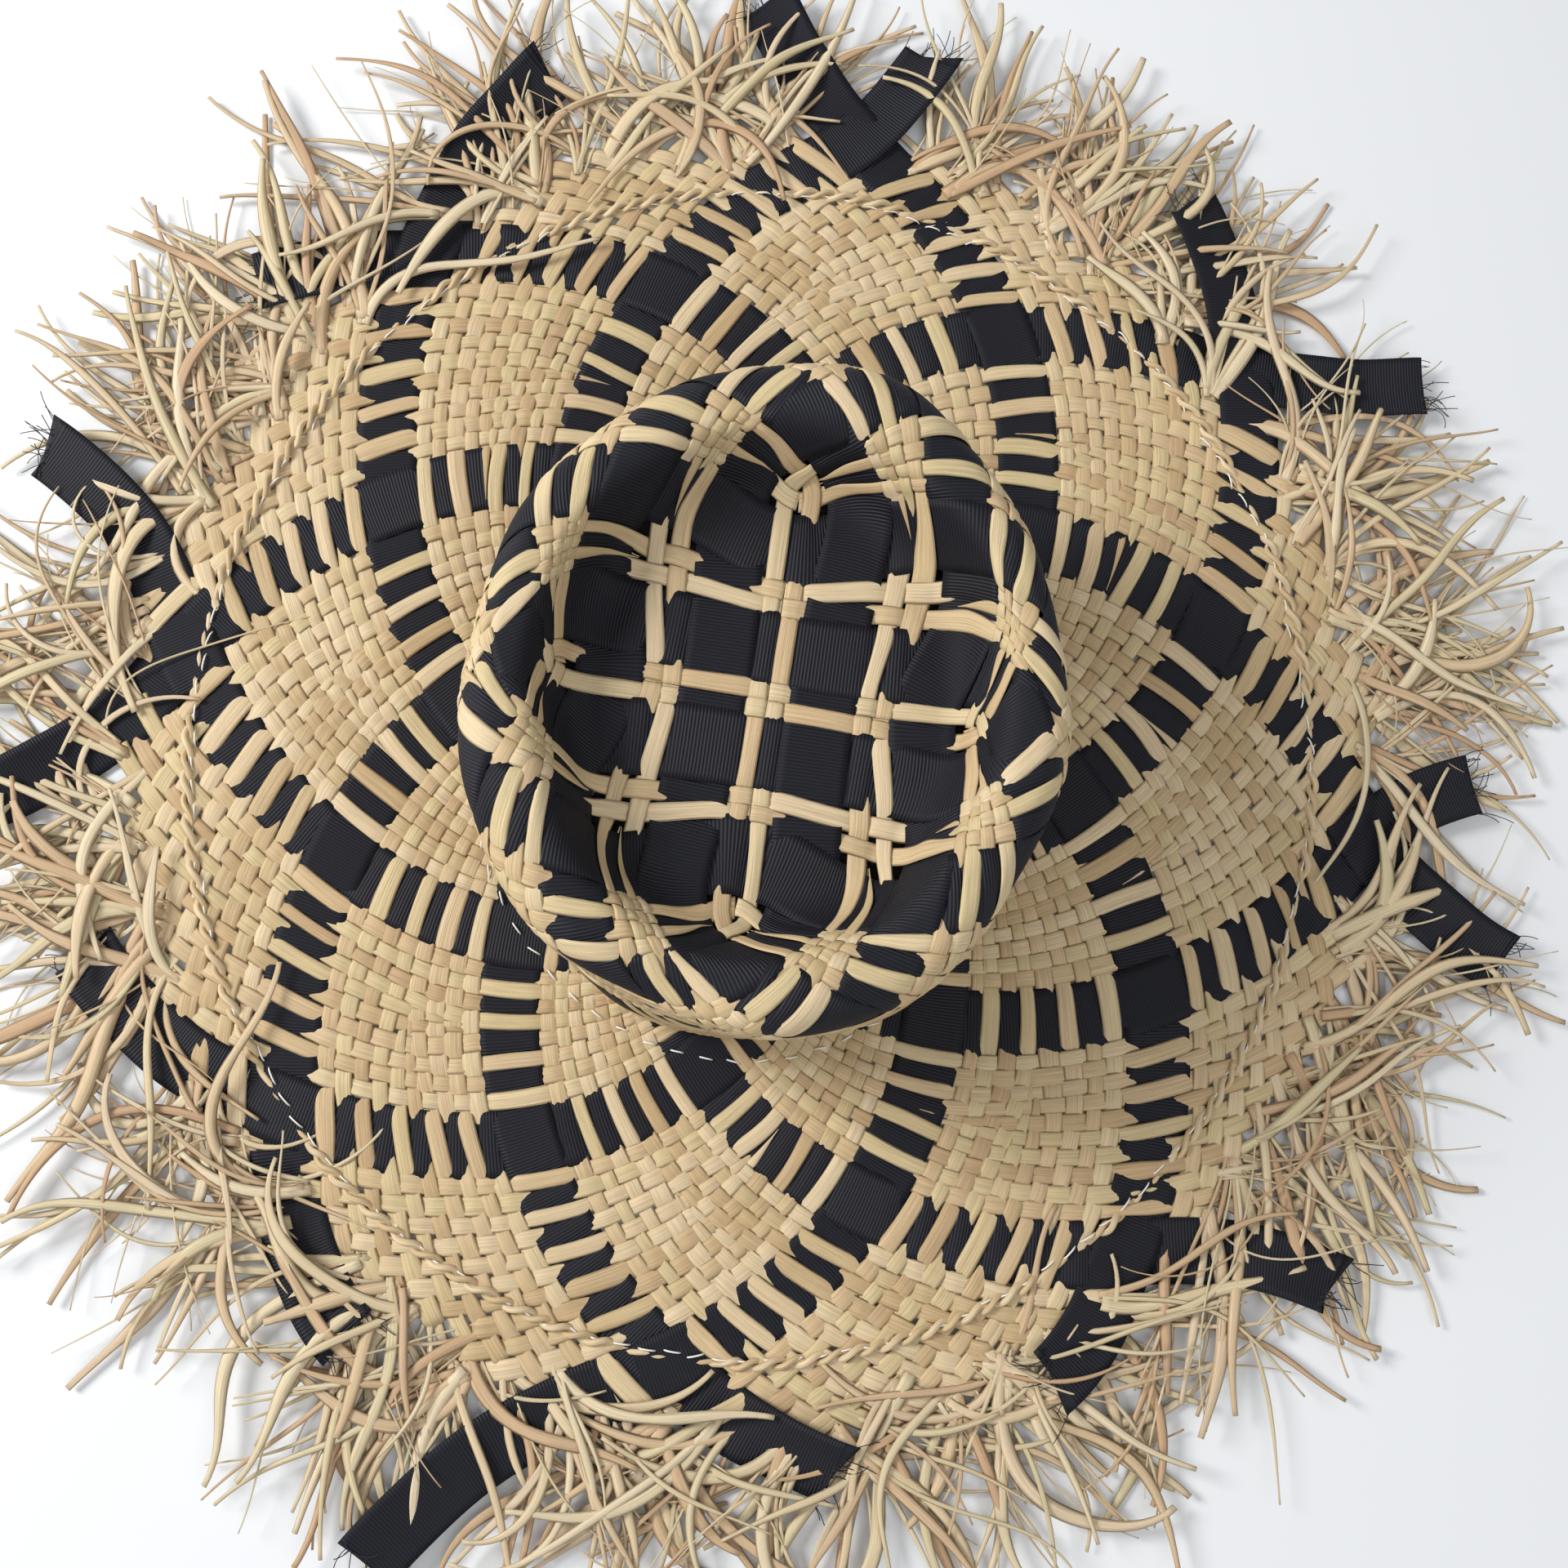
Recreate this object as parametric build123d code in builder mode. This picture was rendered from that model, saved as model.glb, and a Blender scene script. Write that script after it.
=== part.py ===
"""Sun hat woven from wide grosgrain ribbons and raffia strands, lying flat.

Frame: origin at the middle of the head opening, in the plane of the brim's underside.
+Z up, +Y along the head's length. Millimetres.
"""
import cmath
import math
import os

from build123d import *

os.makedirs("parts", exist_ok=True)

# ---------------------------------------------------------------- driving sizes
ribbon_w = 22.0  # width of the grosgrain ribbon
raffia_w = 5.75  # width of one raffia strand
weave_t = 2.4  # thickness of the woven raffia
ribbon_t = 0.4  # thickness of one ribbon in the frame
clearance = 0.3  # gap between a ribbon and what it lies on

crown_r = 96.0  # mean radius of the crown's outside, at the foot
crown_bulge = 1.0  # how much wider the crown is at its shoulder
crown_h = 101.0  # top of the soft rim
dent_h = 77.0  # floor of the dent in the crown
dent_r = 63.0  # radius of the dent's floor
dent_rim_r = 76.5  # radius of the dent at the rim
foot_fillet = 12.0
rim_fillet = 9.0
shoulder_fillet = 11.0
base_fillet = 5.0
oval = 6.0  # half of the difference between the length and the width

brim_r = 203.0  # mean radius of the brim at the edge seam
brim_shift_x = 4.0  # the brim is a little wider on one side
brim_shift_y = 2.0

twist_r = 1.5  # twisted ridge of raffia along the edge seam
woven_margin = 12.0  # weave carries on past the edge seam
tail_length = 62.0  # free end of a ribbon past the woven margin
fringe_length = 92.0  # free raffia past the edge seam
fringe_t = 1.6
fringe_bundles = 16
fringe_strips = 9

band_h = 26.0  # inner band
band_t = 0.9
thread_t = 0.5
stitch_length = 5.0
band_stitches = 44

# ---------------------------------------------------------------- derived sizes
ribbons_each_way = 4
strands_between = 2
pitch = ribbon_w + strands_between * raffia_w
corner_w = ribbons_each_way / 2 * pitch  # centre to corner, measured in the net
corner_z = corner_w / 1.11072  # the same corner on the flattened crown
stretch = oval / 95.0
crown_scale = (1 - stretch, 1 + stretch, 1)
ring_r = brim_r + clearance + twist_r
fringe_in = ring_r + twist_r + clearance
weave_swing = 0.45  # height a ribbon rises and sinks at its crossings


# ---------------------------------------------------------------- the hat's section
def corners(offset):
    """Corner points of the section, moved out from the woven surface, with their radii."""
    slope = math.atan2(crown_h - dent_h, dent_rim_r - dent_r)
    shift = offset * math.tan(slope / 2)
    side = offset
    return [
        (0.0, dent_h + offset, 0.0),
        (dent_r - shift, dent_h + offset, foot_fillet - offset),
        (dent_rim_r - shift, crown_h + offset, rim_fillet + offset),
        (crown_r + crown_bulge + side, crown_h + offset, shoulder_fillet + offset),
        (crown_r + side, weave_t + offset, base_fillet - offset),
        (2 * brim_r, weave_t + offset, 0.0),
    ]


def section(offset):
    """Lines and arcs of the section: (kind, start, end, centre, radius, turn)."""
    pts = corners(offset)
    out = []
    here = Vector(pts[0][0], pts[0][1])
    for i in range(1, len(pts) - 1):
        p = Vector(pts[i][0], pts[i][1])
        a = (p - Vector(pts[i - 1][0], pts[i - 1][1])).normalized()
        b = (Vector(pts[i + 1][0], pts[i + 1][1]) - p).normalized()
        turn = math.atan2(a.X * b.Y - a.Y * b.X, a.dot(b))
        cut = pts[i][2] * math.tan(abs(turn) / 2)
        start = p - a * cut
        side = 1 if turn > 0 else -1
        centre = start + Vector(-a.Y, a.X) * side * pts[i][2]
        out.append(("line", here, start))
        out.append(("arc", start, p + b * cut, centre, pts[i][2], turn))
        here = p + b * cut
    out.append(("line", here, Vector(pts[-1][0], pts[-1][1])))
    return out


def draw_section(offset, end_z):
    """Draw the section in the current line builder, down to end_z on the crown's side."""
    for piece in section(offset)[:7]:
        start = piece[1]
        end = piece[2]
        if piece[0] == "line":
            if abs(end.X - start.X) < 2 and start.Y - end.Y > 20:
                end = Vector(start.X + (end.X - start.X) * (start.Y - end_z) / (start.Y - end.Y), end_z)
            Line((start.X, start.Y), (end.X, end.Y))
        else:
            centre = piece[3]
            arm = (start - centre).rotate(Axis.Z, math.degrees(piece[5]) / 2)
            middle = centre + arm
            ThreePointArc((start.X, start.Y), (middle.X, middle.Y), (end.X, end.Y))
    return end


surface = section(0.0)
surface_lengths = []
for piece in surface:
    if piece[0] == "line":
        surface_lengths.append((piece[2] - piece[1]).length)
    else:
        surface_lengths.append(abs(piece[5]) * piece[4])


def at_length(s):
    """Radius, height and outward normal of the section at the arc length s."""
    for piece, length in zip(surface, surface_lengths):
        if s <= length or piece is surface[-1]:
            break
        s -= length
    if piece[0] == "line":
        d = (piece[2] - piece[1]).normalized()
        p = piece[1] + d * s
    else:
        angle = s / piece[4] * math.copysign(1, piece[5])
        arm = (piece[1] - piece[3]).rotate(Axis.Z, math.degrees(angle))
        p = piece[3] + arm
        d = Vector(-arm.Y, arm.X).normalized() * math.copysign(1, piece[5])
    return p.X, p.Y, -d.Y, d.X


# ---------------------------------------------------------------- the net of strands
step_s = 0.5
crown_end = sum(surface_lengths[:7])
brim_start = sum(surface_lengths[:8])
edge_s = brim_start + brim_r - (crown_r + base_fillet)


def smooth(x):
    x = min(1.0, max(0.0, x))
    return x * x * (3 - 2 * x)


def slant(s, r):
    """Tangent of the angle between a strand and the radial line."""
    if s < crown_end:
        return 0.97
    return 0.97 + 0.55 * max(0.0, (r - crown_r) / (brim_r - crown_r)) ** 1.5


log_table = []
total = math.log(dent_r * 0.5)
s_here = dent_r * 0.5
while s_here < edge_s + 130:
    log_table.append(total)
    r_here = at_length(s_here + step_s / 2)[0]
    total += step_s * slant(s_here, r_here) / r_here
    s_here += step_s


def s_of_log(value):
    """Arc length whose flattened radius has this logarithm."""
    if value <= log_table[0]:
        return math.exp(value)
    low = 0
    high = len(log_table) - 1
    while high - low > 1:
        mid = (low + high) // 2
        if log_table[mid] <= value:
            low = mid
        else:
            high = mid
    part = (value - log_table[low]) / (log_table[high] - log_table[low])
    return dent_r * 0.5 + (low + part) * step_s


def flattened(z):
    """Ease the four corners of the net, then undo the oval on the top of the crown."""
    moved = z
    for k in range(4):
        c = corner_z * 1j**k
        rho = abs(z - c)
        full = 0.9428 * corner_z**0.25 * rho**0.75
        moved += (z - c) / max(rho, 1e-6) * (full - rho) * (1 - smooth(rho / corner_z / 0.74))
    size = abs(moved) / corner_z
    moved *= 1 + 0.09 * smooth((size - 0.3) / 0.7)
    undo = 1 - smooth((size - 0.9) / 0.6)
    return complex(moved.real * (1 + stretch * undo), moved.imag * (1 - stretch * undo))


def arc_position(q):
    """Arc length and angle of a point of the flattened net."""
    angle = cmath.phase(q)
    value = math.log(max(abs(q), 1e-6))
    drift = 0.09 * math.cos(angle - math.radians(55)) * smooth((value - math.log(90)) / 0.8)
    return s_of_log(value + drift), angle


def place(s, angle, offset):
    """Point of the hat at this arc length and angle, moved out from the surface."""
    r, z, nr, nz = at_length(s)
    rr = r + nr * offset
    if s < crown_end:
        kx = rr * (1 - stretch)
        ky = rr * (1 + stretch)
        share = 0.0
    else:
        full = smooth((s - crown_end) / (brim_start - crown_end))
        kx = rr * (1 - stretch) * (1 - full) + (rr - oval) * full
        ky = rr * (1 + stretch) * (1 - full) + (rr + oval) * full
        share = smooth((r - crown_r) / (brim_r - crown_r))
    x = kx * math.cos(angle) + brim_shift_x * share
    y = ky * math.sin(angle) + brim_shift_y * share
    return Vector(x, y, z + nz * offset)


def heading(z, before):
    """Direction of the net at z that carries on from the one before."""
    root = (corner_z**4 - z**4) ** 0.25 / corner_z
    turns = [root * 1j**k for k in range(4)]
    return max(turns, key=lambda t: (t * before.conjugate()).real)


def half_path(z, direction, step):
    """Points of one strand from z to the woven margin, as (net length, flattened point)."""
    out = [(0.0, flattened(z))]
    d = direction
    length = 0.0
    while arc_position(out[-1][1])[0] < edge_s + woven_margin:
        d = heading(z, d)
        mid = heading(z + d * step / 2, d)
        z = z + mid * step
        d = mid
        length += step
        out.append((length, flattened(z)))
    return out


def start_point(w, along):
    """Flattened start of a strand w away from the middle, measured across it."""
    z = 0j
    across = along * -1j * (1 if w > 0 else -1)
    d = across
    for _ in range(200):
        d = heading(z, d)
        z = z + heading(z + d * abs(w) / 400, d) * abs(w) / 200
    return z


def side_step(q, q_next, distance):
    """Move sideways over the hat by a distance, at right angles to the strand."""
    s, angle = arc_position(q)
    s2, angle2 = arc_position(q_next)
    for _ in range(1):
        r = max(at_length(s)[0], 1.0)
        turn = (angle2 - angle + math.pi) % (2 * math.pi) - math.pi
        if s < dent_r * 0.5:
            d = (q_next - q) / abs(q_next - q) * 1j
            moved = q + d * distance
            return arc_position(moved)
        p = complex(s2 - s, r * turn)
        p = p / abs(p) * 1j
    parts = 4
    for _ in range(parts):
        ratio = max(at_length(s)[0], 1.0)
        s_mid = s + p.real * distance / parts / 2
        ratio = max(at_length(s_mid)[0], 1.0)
        s += p.real * distance / parts
        angle += p.imag * distance / parts / ratio
    return s, angle


def swing(net_length, first):
    """Rise and fall of a ribbon at its crossings, from -1 to 1."""
    wave = math.cos(math.pi * (net_length / pitch - 0.5)) * first
    return math.tanh(2.2 * wave) / math.tanh(2.2)


def ribbon(index, along, flip):
    """One ribbon from free end to free end, woven over and under the others."""
    w = (index - 1.5) * pitch
    z0 = start_point(w, along)
    rows = []
    for sense in (1, -1):
        path = half_path(z0, along * sense, 0.5)
        pick = path[::8]
        half = []
        for k in range(len(pick) - 1):
            net, q = pick[k]
            s, angle = arc_position(q)
            over = swing(net * sense, flip * (1 if index % 2 else -1))
            lift = 0.85 * smooth(1 - abs(s - edge_s - 2) / 14)
            h = clearance + ribbon_t / 2 + weave_swing * (1 + over) + lift
            row = []
            for j in range(7):
                d = ribbon_w * (j / 6 - 0.5) * sense
                row.append((side_step(q, pick[k + 1][1], d), h))
            half.append([place(c[0][0], c[0][1], c[1] + ribbon_t / 2) for c in row])
            half[-1] += [place(c[0][0], c[0][1], c[1] - ribbon_t / 2) for c in row]
        last = half[-1]
        turn_way = 1
        d = (last[3] - half[-2][3])
        out_dir = Vector(last[3].X, last[3].Y, 0).normalized()
        d = Vector(d.X, d.Y, 0).normalized()
        if d.X * out_dir.Y - d.Y * out_dir.X < 0:
            turn_way = -1
        height = last[3].Z
        rest = weave_t + clearance + ribbon_t + (2 * weave_swing if turn_way > 0 else 0)
        point = last[3]
        for k in range(1, int(tail_length / 5) + 1):
            d = d.rotate(Axis.Z, turn_way * 2.4)
            point = point + d * 5
            z_here = height + (rest - height) * smooth(k / 3)
            cross = Vector(-d.Y, d.X, 0)
            row = []
            for j in range(7):
                row.append(point + cross * (ribbon_w * (j / 6 - 0.5) * sense))
            top = [Vector(p.X, p.Y, z_here) for p in row]
            low = [Vector(p.X, p.Y, z_here - ribbon_t) for p in row]
            half.append(top + low)
        rows.append(half)
    whole = rows[1][:0:-1] + rows[0]
    top = Face.make_surface_from_array_of_points([r[:7] for r in whole], tol=0.01)
    low = Face.make_surface_from_array_of_points([r[7:] for r in whole], tol=0.01)
    sides = []
    for e in top.edges():
        other = min(low.edges(), key=lambda f: (f.center() - e.center()).length)
        sides.append(Face.make_surface_from_curves(e, other))
    solid = Solid(Shell([top, low] + sides))
    return solid


# ---------------------------------------------------------------- woven raffia
with BuildPart() as crown_weave:
    with BuildSketch(Plane.XZ):
        with BuildLine():
            foot_out = draw_section(0.0, weave_t)
            foot_in = draw_section(-weave_t, weave_t)
            Line((foot_out.X, foot_out.Y), (foot_in.X, foot_in.Y))
            Line((0, dent_h), (0, dent_h - weave_t))
        make_face()
    revolve(axis=Axis.Z)
    scale(by=crown_scale)

inside_r = crown_r - weave_t
with BuildPart() as brim_weave:
    with BuildSketch():
        with Locations((brim_shift_x, brim_shift_y)):
            Ellipse(brim_r - oval, brim_r + oval)
        Ellipse(inside_r * (1 - stretch), inside_r * (1 + stretch), mode=Mode.SUBTRACT)
    extrude(amount=weave_t)

# ---------------------------------------------------------------- inner band and its seam
band_out = inside_r - clearance
band_in = band_out - band_t
with BuildPart() as inner_band:
    with BuildSketch(Plane.XY.offset(clearance)):
        Ellipse(band_out * (1 - stretch), band_out * (1 + stretch))
        Ellipse(band_in * (1 - stretch), band_in * (1 + stretch), mode=Mode.SUBTRACT)
    extrude(amount=band_h)

seam_r = crown_r + base_fillet + 3
with BuildPart() as inner_band_stitching:
    for k in range(band_stitches):
        t = 360.0 * (k + 0.5) / band_stitches
        x = (seam_r - oval) * math.cos(math.radians(t))
        y = (seam_r + oval) * math.sin(math.radians(t))
        way = math.degrees(math.atan2(y, x)) + 90
        with Locations(Location((x, y, weave_t), (0, 0, way))):
            Box(stitch_length, thread_t, thread_t / 2, align=(Align.CENTER, Align.CENTER, Align.MIN))

# ---------------------------------------------------------------- edge seam
with BuildPart() as edge_twist:
    with BuildLine(Plane.XY.offset(twist_r)):
        middle_point = (brim_shift_x, brim_shift_y)
        EllipticalCenterArc(middle_point, ring_r - oval, ring_r + oval, start_angle=0, arc_size=360)
    with BuildSketch(Plane(origin=(brim_shift_x + ring_r - oval, brim_shift_y, twist_r),
                           x_dir=(1, 0, 0), z_dir=(0, 1, 0))):
        Circle(twist_r)
    sweep()

# ---------------------------------------------------------------- ribbons
lengthwise = []
crosswise = []
for k in range(ribbons_each_way):
    with BuildPart() as one:
        add(ribbon(k, 1j, 1))
    one.part.label = f"ribbon_lengthwise_{k + 1}"
    lengthwise.append(one)
    with BuildPart() as one:
        add(ribbon(k, -1 + 0j, 1))
    one.part.label = f"ribbon_crosswise_{k + 1}"
    crosswise.append(one)

# ---------------------------------------------------------------- fringe
sector = 360.0 / fringe_bundles
fringe_root = woven_margin
bundles = []
for n in range(fringe_bundles):
    middle = sector * (n + 0.5)
    with BuildPart() as bundle:
        with BuildSketch():
            with Locations((brim_shift_x, brim_shift_y)):
                Ellipse(fringe_in + fringe_root - oval, fringe_in + fringe_root + oval)
                Ellipse(fringe_in - oval, fringe_in + oval, mode=Mode.SUBTRACT)
            with BuildLine(mode=Mode.PRIVATE) as wedge:
                near = math.radians(middle - sector / 2 + 0.15)
                far = math.radians(middle + sector / 2 - 0.15)
                size = 2 * brim_r
                Polyline((0, 0), (size * math.cos(near), size * math.sin(near)),
                         (size * math.cos(far), size * math.sin(far)), (0, 0))
            add(make_face(wedge.edges(), mode=Mode.PRIVATE), mode=Mode.INTERSECT)
        extrude(amount=fringe_t)
        with BuildSketch() as strips:
            for k in range(fringe_strips):
                part = (k + 0.5) / fringe_strips - 0.5
                angle = math.radians(middle + part * (sector - 1.2))
                mix = math.sin(12.9898 * (n * fringe_strips + k + 1)) * 43758.5453
                mix -= math.floor(mix)
                reach = (fringe_length - fringe_root) * (0.78 + 0.22 * mix)
                root = fringe_in + fringe_root - 2
                x = brim_shift_x + (root + reach / 2 - oval) * math.cos(angle)
                y = brim_shift_y + (root + reach / 2 + oval) * math.sin(angle)
                lean = math.degrees(math.atan2(y - brim_shift_y, x - brim_shift_x))
                with Locations(Location((x, y, 0), (0, 0, lean))):
                    Rectangle(reach + 4, 2.6 + 1.6 * mix)
        extrude(amount=fringe_t)
    bundle.part.label = f"fringe_bundle_{n + 1:02d}"
    bundles.append(bundle)

# ---------------------------------------------------------------- stitches of the edge seam
with BuildPart() as edge_stitching:
    for n in range(fringe_bundles * 4):
        t = math.radians(360.0 * (n + 0.5) / (fringe_bundles * 4))
        x = brim_shift_x + (brim_r - 4 - oval) * math.cos(t)
        y = brim_shift_y + (brim_r - 4 + oval) * math.sin(t)
        way = math.degrees(t) + 90
        with Locations(Location((x, y, weave_t), (0, 0, way))):
            Box(stitch_length, thread_t, thread_t / 2, align=(Align.CENTER, Align.CENTER, Align.MIN))

# ---------------------------------------------------------------- labels and files
crown_weave.part.label = "crown_weave"
brim_weave.part.label = "brim_weave"
inner_band.part.label = "inner_band"
inner_band_stitching.part.label = "inner_band_stitching"
edge_twist.part.label = "edge_twist"
edge_stitching.part.label = "edge_stitching"
pieces = [crown_weave, brim_weave, inner_band, inner_band_stitching, edge_twist, edge_stitching]
for built in pieces + lengthwise + crosswise + bundles:
    export_step(built.part, f"parts/{built.part.label}.step")
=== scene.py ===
"""Sun hat woven from black grosgrain ribbon and raffia: the finished look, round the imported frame."""
import math
import bpy
import numpy as np
from mathutils import Matrix, Vector


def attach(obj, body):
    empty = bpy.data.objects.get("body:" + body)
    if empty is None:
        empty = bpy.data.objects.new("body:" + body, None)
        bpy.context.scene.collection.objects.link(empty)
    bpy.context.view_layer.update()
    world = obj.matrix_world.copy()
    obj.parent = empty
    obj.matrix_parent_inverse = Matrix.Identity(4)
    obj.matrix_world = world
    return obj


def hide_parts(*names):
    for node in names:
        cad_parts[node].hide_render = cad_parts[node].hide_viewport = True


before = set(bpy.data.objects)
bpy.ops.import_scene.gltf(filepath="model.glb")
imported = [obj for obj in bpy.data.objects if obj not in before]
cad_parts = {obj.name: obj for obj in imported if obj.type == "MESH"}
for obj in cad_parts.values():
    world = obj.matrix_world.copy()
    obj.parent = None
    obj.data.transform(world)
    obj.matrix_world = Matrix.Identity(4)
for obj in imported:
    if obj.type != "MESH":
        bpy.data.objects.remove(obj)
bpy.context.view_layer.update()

rng = np.random.default_rng(11)
MM = 0.001

# ------------------------------------------------------------------ sizes, in millimetres
RIBBON_W = 22.0
RIBBON_T = 0.36
RIB_PITCH = 1.06
RAFFIA_W = 5.75
RAFFIA_T = 1.0
PITCH = RIBBON_W + 2 * RAFFIA_W
CORNER_W = 2 * PITCH
CORNER_Z = CORNER_W / 1.11072
WEAVE_T = 2.4
CROWN_R = 96.0
CROWN_H = 101.0
DENT_H = 77.0
DENT_R = 63.0
DENT_RIM_R = 76.5
BRIM_R = 203.0
OVAL = 6.0
STRETCH = OVAL / 95.0
SHIFT = (4.0, 2.0)
U_TOP = CORNER_W
U_MAX = 272.0


def smooth(x):
    x = np.clip(x, 0.0, 1.0)
    return x * x * (3 - 2 * x)


# ------------------------------------------------------------------ the hat's section
def section_table():
    """Radius, height and normal along the outside of the hat, every half millimetre."""
    corners = [(0, DENT_H, 0), (DENT_R, DENT_H, 12), (DENT_RIM_R, CROWN_H, 9),
               (CROWN_R + 1, CROWN_H, 11), (CROWN_R, WEAVE_T, 5), (2 * BRIM_R, WEAVE_T, 0)]
    pts = []
    here = np.array(corners[0][:2], float)
    for i in range(1, 5):
        p = np.array(corners[i][:2], float)
        a = p - np.array(corners[i - 1][:2])
        b = np.array(corners[i + 1][:2]) - p
        a /= np.linalg.norm(a)
        b /= np.linalg.norm(b)
        turn = math.atan2(a[0] * b[1] - a[1] * b[0], a @ b)
        cut = corners[i][2] * math.tan(abs(turn) / 2)
        begin = p - a * cut
        n = max(2, int(np.linalg.norm(begin - here) / 0.25))
        pts += [here + (begin - here) * k / n for k in range(n)]
        side = 1 if turn > 0 else -1
        centre = begin + np.array([-a[1], a[0]]) * side * corners[i][2]
        arm = begin - centre
        n = max(4, int(abs(turn) * corners[i][2] / 0.25))
        for k in range(n):
            t = turn * k / n
            pts.append(centre + [arm[0] * math.cos(t) - arm[1] * math.sin(t),
                                 arm[0] * math.sin(t) + arm[1] * math.cos(t)])
        here = p + b * cut
    brim_start = len(pts)
    pts += [here + np.array([0.25 * k, 0]) for k in range(900)]
    pts = np.array(pts)
    seg = np.linalg.norm(np.diff(pts, axis=0), axis=1)
    s = np.concatenate([[0], np.cumsum(seg)])
    tangent = np.gradient(pts, s, axis=0)
    tangent /= np.linalg.norm(tangent, axis=1)[:, None]
    return s, pts[:, 0], pts[:, 1], -tangent[:, 1], tangent[:, 0], s[brim_start]


S, SR, SZ, SNR, SNZ, BRIM_START = section_table()
CROWN_END = BRIM_START - 5 * math.pi / 2
EDGE_S = BRIM_START + BRIM_R - (CROWN_R + 5)
slant = np.where(S < CROWN_END, 0.97 + 0.17 * smooth((S - 62) / 30),
                 0.97 + 0.55 * np.clip((SR - CROWN_R) / (BRIM_R - CROWN_R), 0, None) ** 1.5)
first = np.searchsorted(S, 30.0)
LOG = np.zeros(len(S))
rate = slant / np.maximum(SR, 1)
LOG[first:] = math.log(30.0) + np.concatenate([[0], np.cumsum((rate[first:-1] + rate[first + 1:]) / 2
                                                              * np.diff(S[first:]))])
LOG[1:first] = np.log(S[1:first])
LOG[0] = -9


def flattened(z):
    moved = z.copy()
    for k in range(4):
        c = CORNER_Z * 1j**k
        rho = np.abs(z - c)
        full = 0.9428 * CORNER_Z**0.25 * rho**0.75
        moved += (z - c) / np.maximum(rho, 1e-6) * (full - rho) * (1 - smooth(rho / CORNER_Z / 0.74))
    size = np.abs(moved) / CORNER_Z
    moved = moved * (1 + 0.09 * smooth((size - 0.3) / 0.7))
    undo = 1 - smooth((size - 0.9) / 0.6)
    return moved.real * (1 + STRETCH * undo) + 1j * moved.imag * (1 - STRETCH * undo)


def arc_position(q):
    angle = np.angle(q)
    value = np.log(np.maximum(np.abs(q), 1e-6))
    drift = 0.09 * np.cos(angle - math.radians(55)) * smooth((value - math.log(90)) / 0.8)
    return np.interp(value + drift, LOG, S), angle


def dimple(s, angle):
    """Soft, hand-shaped unevenness of the crown and brim, as a height along the normal."""
    crown = smooth((s - 35) / 40) * (1 - smooth((s - CROWN_END + 25) / 25))
    a = (1.6 * np.sin(3 * angle + 0.7 + s / 37) + 1.2 * np.sin(5 * angle - 1.1 - s / 29)
         + 0.7 * np.sin(9 * angle + 2.0 + s / 17))
    brim = smooth((s - BRIM_START - 10) / 40)
    b = 0.9 + 0.5 * np.sin(4 * angle + 1.3 + s / 60) + 0.45 * np.sin(7 * angle - s / 33)
    return crown * a + brim * b * 0.8


def place(s, angle, offset):
    offset = offset + dimple(s, angle)
    r = np.interp(s, S, SR)
    z = np.interp(s, S, SZ)
    nr = np.interp(s, S, SNR)
    nz = np.interp(s, S, SNZ)
    rr = r + nr * offset
    full = smooth((s - CROWN_END) / (BRIM_START - CROWN_END))
    kx = rr * (1 - STRETCH) * (1 - full) + (rr - OVAL) * full
    ky = rr * (1 + STRETCH) * (1 - full) + (rr + OVAL) * full
    share = smooth((r - CROWN_R) / (BRIM_R - CROWN_R)) * (s > CROWN_END)
    return np.stack([kx * np.cos(angle) + SHIFT[0] * share, ky * np.sin(angle) + SHIFT[1] * share,
                     np.maximum(z + nz * offset, 0.15)], -1)


# ------------------------------------------------------------------ the net: z(x, u) for one quadrant
def heading(z, before):
    root = (CORNER_Z**4 - z**4) ** 0.25 / CORNER_Z
    k = np.round((np.angle(before) - np.angle(root)) / (math.pi / 2))
    return root * np.exp(0.5j * math.pi * k)


XS = np.arange(0.5, 67.0, 0.5)
U_STEP = 0.5
US = np.arange(-U_TOP, U_MAX + 4, U_STEP)


def net_table():
    starts = []
    z = np.array([0j])
    for x in np.arange(0, 67.0, 0.05):
        d = heading(z, np.array([1 + 0j]))
        starts.append(z[0])
        z = z + heading(z + d * 0.025, d) * 0.05
    z = np.array([starts[int(round(x / 0.05))] for x in XS])
    table = np.zeros((len(XS), len(US)), complex)
    d = np.full(len(XS), 1j)
    shift = np.round(XS / U_STEP).astype(int)
    rows = np.arange(len(XS))
    for j in range(len(US)):
        col = j + shift
        ok = col < len(US)
        table[rows[ok], col[ok]] = z[ok]
        for _ in range(2):
            d = heading(z, d)
            d = heading(z + d * U_STEP / 4, d)
            z = z + d * U_STEP / 2
    for i in rows:
        table[i, :shift[i]] = table[i, shift[i]]
    return table


NET = net_table()


def net_point(x, u):
    fx = np.clip((x - XS[0]) / 0.5, 0, len(XS) - 1.001)
    fu = np.clip((u - US[0]) / U_STEP, 0, len(US) - 1.001)
    i = fx.astype(int)
    j = fu.astype(int)
    fx = fx - i
    fu = fu - j
    return ((NET[i, j] * (1 - fu) + NET[i, j + 1] * fu) * (1 - fx)
            + (NET[i + 1, j] * (1 - fu) + NET[i + 1, j + 1] * fu) * fx)


def family_point(family, t, u, anchor):
    """Flattened point of a strand at perimeter place t and depth u; anchor fixes its quadrant."""
    if family > 0:
        q = math.floor((anchor + 0.5) / 2)
        x = np.clip(PITCH * (1.5 - (t - 2 * q)), 0.5, 66.4)
        z = -np.conj(net_point(x, u))
    else:
        q = math.floor((anchor - 1.5) / 2)
        x = np.clip(PITCH * ((t - 2 * q) - 1.5), 0.5, 66.4)
        z = net_point(x, u)
    return flattened(z * (-1j) ** q)


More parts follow.
